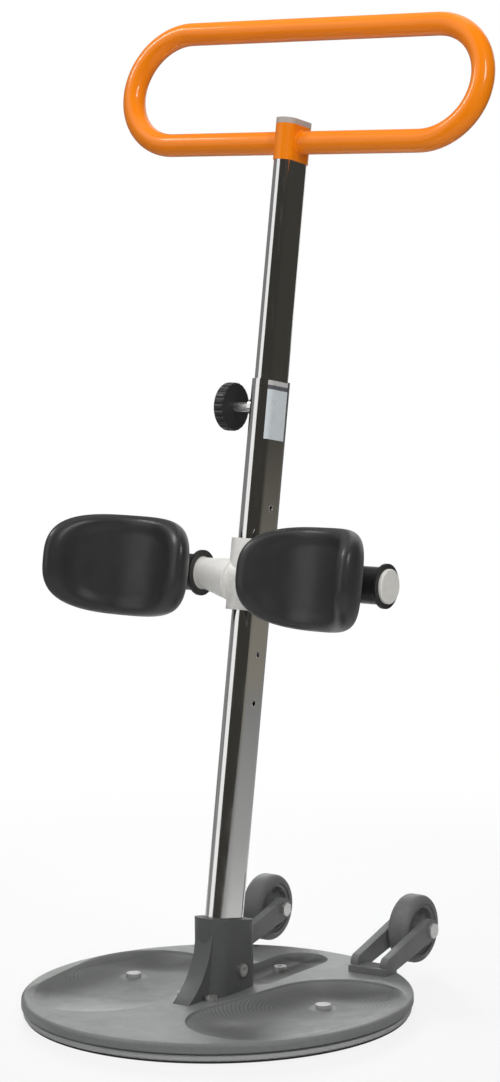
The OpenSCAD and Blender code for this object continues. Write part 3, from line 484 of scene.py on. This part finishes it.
for side, word in ((-1, "left"), (1, "right")):
    pad = make_pad(word + "_leg_pad", side)
    pad.data.materials.append(skin.mat)
    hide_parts(word + "_pad")
    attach(pad, word + "_support")


# Blank label on the mast's flat side, wrapped a little onto its round front

LABEL_LOW = 0.585
LABEL_HIGH = 0.645
LABEL_FRONT = 0.020
LABEL_FLOAT = 0.00002
LABEL_THICK = 0.00025
LABEL_LINE_LOW = (0.6355, 0.6362)
LABEL_LINE_HIGH = (0.6398, 0.6406)
LABEL_STEPS = 8
LABEL_ROWS = 24


def label_path():
    """The plate's section: points and outward directions along the tube's surface, from the round front to the flat."""
    path = []
    start = math.asin((LABEL_FRONT - TUBE_HALF) / TUBE_HALF)
    for i in range(LABEL_STEPS + 1):
        a = start * (1 - i / LABEL_STEPS)
        path.append((TUBE_HALF * math.cos(a), -TUBE_HALF - TUBE_HALF * math.sin(a), math.cos(a), -math.sin(a)))
    for i in range(1, LABEL_STEPS + 1):
        path.append((TUBE_HALF, -TUBE_HALF + 2 * TUBE_HALF * i / LABEL_STEPS, 1.0, 0.0))
    return path


bm = bmesh.new()
rings = []
for i in range(LABEL_ROWS + 1):
    s = LABEL_LOW + (LABEL_HIGH - LABEL_LOW) * i / LABEL_ROWS
    outer = []
    inner = []
    for px, py, nx, ny in label_path():
        outer.append(bm.verts.new(on_mast(px + nx * LABEL_THICK, py + ny * LABEL_THICK, s)))
        inner.append(bm.verts.new(on_mast(px + nx * LABEL_FLOAT, py + ny * LABEL_FLOAT, s)))
    rings.append(outer + inner[::-1])
skin_rings(bm, rings)
bm.faces.new(rings[0][::-1])
bm.faces.new(rings[-1])
label = add_mesh("mast_label", bm, smooth=False)

paper = Finish("label_film", (0.74, 0.79, 0.815), 0.3, edge=0.0)
y, z = paper.axes()[1:]
level = paper.math(
    "ADD",
    paper.times(paper.math("SUBTRACT", y, MAST_FOOT_Y), math.sin(MAST_LEAN)),
    paper.times(z, math.cos(MAST_LEAN)),
)
paper.tint(paper.step(paper.noise(60.0, 4.0), 0.35, 0.7, 0.0, 0.3), (0.67, 0.735, 0.76))
# A dark line across the label, between two soft edges, with a grey strip above it
paper.tint(paper.step(level, *LABEL_LINE_LOW), (0.13, 0.13, 0.15))
paper.tint(paper.step(level, *LABEL_LINE_HIGH), (0.62, 0.61, 0.60))
paper.gloss(paper.noise(80.0, 3.0), 0.3, 0.7, 0.24, 0.4)
paper.bump(paper.noise(300.0, 2.0), 0.00003, 0.5)
paper.done()
label.data.materials.append(paper.mat)
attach(label, "turntable")


# Weld beads where the handle's lower bar meets the collar

BEAD_RADIUS = 0.0013
BEAD_RIPPLE = 0.00018
BEAD_RIPPLES = 22
BEAD_SAG = 0.0001
BEAD_SAGS = 5
BEAD_SINK = 0.0002
BEAD_SHIFT = 0.25
BEAD_AROUND = 96
BEAD_SIDES = 10
collar_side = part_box("handle_collar")[1].x

for side, word in ((-1, "left"), (1, "right")):
    bm = bmesh.new()
    rows = []
    for i in range(BEAD_AROUND):
        a = 2 * math.pi * i / BEAD_AROUND
        thick = BEAD_RADIUS + BEAD_RIPPLE * math.sin(a * BEAD_RIPPLES) + BEAD_SAG * math.sin(a * BEAD_SAGS + side)
        row = []
        for k in range(BEAD_SIDES):
            b = 2 * math.pi * k / BEAD_SIDES
            out = BAR_RADIUS - BEAD_SINK + thick * math.cos(b)
            px = side * (collar_side + thick * (BEAD_SHIFT + math.sin(b)))
            row.append(bm.verts.new(on_mast(px, out * math.cos(a), HANDLE_LEVEL + out * math.sin(a))))
        rows.append(row)
    rows.append(rows[0])
    skin_rings(bm, rows)
    bead = add_mesh(word + "_weld_bead", bm)
    bead.data.materials.append(orange.mat)
    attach(bead, "handle")


# Studio: pale floor, soft lights, white surroundings and dark cards that only reflections see.
# What glows here is only looked at. It isn't sampled as a lamp, which would speckle the paint.

FLOOR_HALF = 9.0
FLOOR_NEAR = 0.25
FLOOR_FAR = 1.3
FLOOR_NEAR_GLOW = 0.84
FLOOR_FAR_GLOW = 1.0
WORLD_LIGHT = 0.20
CARD_TOP = 3.2
CARD_FADE = 0.55
CARD_PARTS = 24


def studio_tree(owner):
    """An empty node tree of a material or the world."""
    owner.use_nodes = True
    owner.node_tree.nodes.clear()
    return owner.node_tree


def blend(tree, output, amount, plain, seen):
    """Mixes two shaders by an amount and sends them to an output node."""
    mix = add_node(tree, "ShaderNodeMixShader")
    tree.links.new(amount, mix.inputs[0])
    tree.links.new(plain.outputs[0], mix.inputs[1])
    tree.links.new(seen.outputs[0], mix.inputs[2])
    tree.links.new(mix.outputs[0], add_node(tree, output).inputs[0])


def pair(tree, how, a, b):
    """One math node over two values."""
    node = add_node(tree, "ShaderNodeMath")
    node.operation = how
    tree.links.new(a, node.inputs[0])
    tree.links.new(b, node.inputs[1])
    return node.outputs[0]


# The floor is white to the camera, a little less so near the part, where its shadow shows
bm = bmesh.new()
corners = ((-1, -1), (1, -1), (1, 1), (-1, 1))
bm.faces.new([bm.verts.new((FLOOR_HALF * across, FLOOR_HALF * back, 0)) for across, back in corners])
floor = add_mesh("studio_floor", bm, smooth=False)
floor_mat = bpy.data.materials.new("studio_floor")
tree = studio_tree(floor_mat)
far = add_node(tree, "ShaderNodeVectorMath")
far.operation = "LENGTH"
tree.links.new(add_node(tree, "ShaderNodeTexCoord").outputs["Object"], far.inputs[0])
glow_share = fade(tree, far.outputs["Value"], FLOOR_NEAR, FLOOR_FAR, FLOOR_NEAR_GLOW, FLOOR_FAR_GLOW)
path = add_node(tree, "ShaderNodeLightPath")
blend(
    tree, "ShaderNodeOutputMaterial", pair(tree, "MULTIPLY", glow_share, path.outputs["Is Camera Ray"]),
    add_node(tree, "ShaderNodeBsdfDiffuse", Color=(0.50, 0.50, 0.50, 1)),
    add_node(tree, "ShaderNodeEmission", Color=(1, 1, 1, 1), Strength=1.0),
)
floor_mat.cycles.emission_sampling = "NONE"
floor.data.materials.append(floor_mat)

# The surroundings are white to the camera and in reflections, and give little light
world = bpy.data.worlds.new("studio")
scene.world = world
tree = studio_tree(world)
path = add_node(tree, "ShaderNodeLightPath")
blend(
    tree, "ShaderNodeOutputWorld",
    pair(tree, "MAXIMUM", path.outputs["Is Camera Ray"], path.outputs["Is Glossy Ray"]),
    add_node(tree, "ShaderNodeBackground", Color=(1, 1, 1, 1), Strength=WORLD_LIGHT),
    add_node(tree, "ShaderNodeBackground", Color=(1, 1, 1, 1), Strength=1.0),
)


def softbox(name, place, target, width, height, power, mirrored=True, spread=180):
    """A rectangular lamp that looks at a target, seen in reflections only where it is mirrored."""
    data = bpy.data.lights.new(name, "AREA")
    data.shape = "RECTANGLE"
    data.size = width
    data.size_y = height
    data.energy = power
    data.spread = math.radians(spread)
    lamp = bpy.data.objects.new(name, data)
    scene.collection.objects.link(lamp)
    aim = (Vector(target) - Vector(place)).to_track_quat("-Z", "Y")
    lamp.matrix_world = Matrix.Translation(place) @ aim.to_matrix().to_4x4()
    lamp.visible_glossy = mirrored


# Lamps
softbox("top_light", (-0.1, 0.35, 1.95), (0, 0.1, 0.5), 1.0, 0.8, 11, mirrored=False)
softbox("back_light", (-1.3, 1.45, 0.78), (0.05, -0.05, -0.15), 0.7, 0.5, 3.2, mirrored=False, spread=32)
softbox("left_light", (-1.42, -0.49, 2.06), (0, 0, 0.45), 0.4, 0.7, 11)
softbox("right_light", (1.61, -0.65, 2.10), (0, 0, 0.45), 0.3, 0.8, 15)
softbox("front_light", (1.2, -2.2, 1.2), (0, 0, 0.5), 1.2, 1.2, 25, mirrored=False)


def dark_card(name, color, low_glow, high_glow, radius, start, end):
    """A curved card with a roof, between two directions in degrees from +X, seen by reflections only.

    Its glow goes from one strength at the floor to another half a metre up.
    """
    mat = bpy.data.materials.new(name)
    tree = studio_tree(mat)
    glow = add_node(tree, "ShaderNodeEmission", Color=(*color, 1))
    split = add_node(tree, "ShaderNodeSeparateXYZ")
    tree.links.new(add_node(tree, "ShaderNodeTexCoord").outputs["Object"], split.inputs[0])
    tree.links.new(fade(tree, split.outputs[2], 0.0, CARD_FADE, low_glow, high_glow), glow.inputs["Strength"])
    tree.links.new(glow.outputs[0], add_node(tree, "ShaderNodeOutputMaterial").inputs[0])
    mat.cycles.emission_sampling = "NONE"
    bm = bmesh.new()
    rows = []
    for i in range(CARD_PARTS + 1):
        a = math.radians(start + (end - start) * i / CARD_PARTS)
        spot = (radius * math.cos(a), radius * math.sin(a))
        rows.append([bm.verts.new(p) for p in ((*spot, 0.0), (*spot, CARD_TOP), (0, 0, CARD_TOP))])
    skin_rings(bm, rows, close_around=False)
    bmesh.ops.remove_doubles(bm, verts=bm.verts, dist=0.0001)
    card = add_mesh(name, bm)
    card.data.materials.append(mat)
    card.visible_camera = False
    card.visible_diffuse = False
    card.visible_shadow = False
    card.visible_transmission = False


WARM_DARK = (1.0, 0.93, 0.80)
dark_card("card_front", WARM_DARK, 0.044, 0.044, 3.6, -102, 30)
dark_card("card_back", WARM_DARK, 0.24, 0.05, 2.0, 25, 78)
dark_card("card_left", (1, 1, 1), 0.30, 0.22, 3.6, 122, 218)
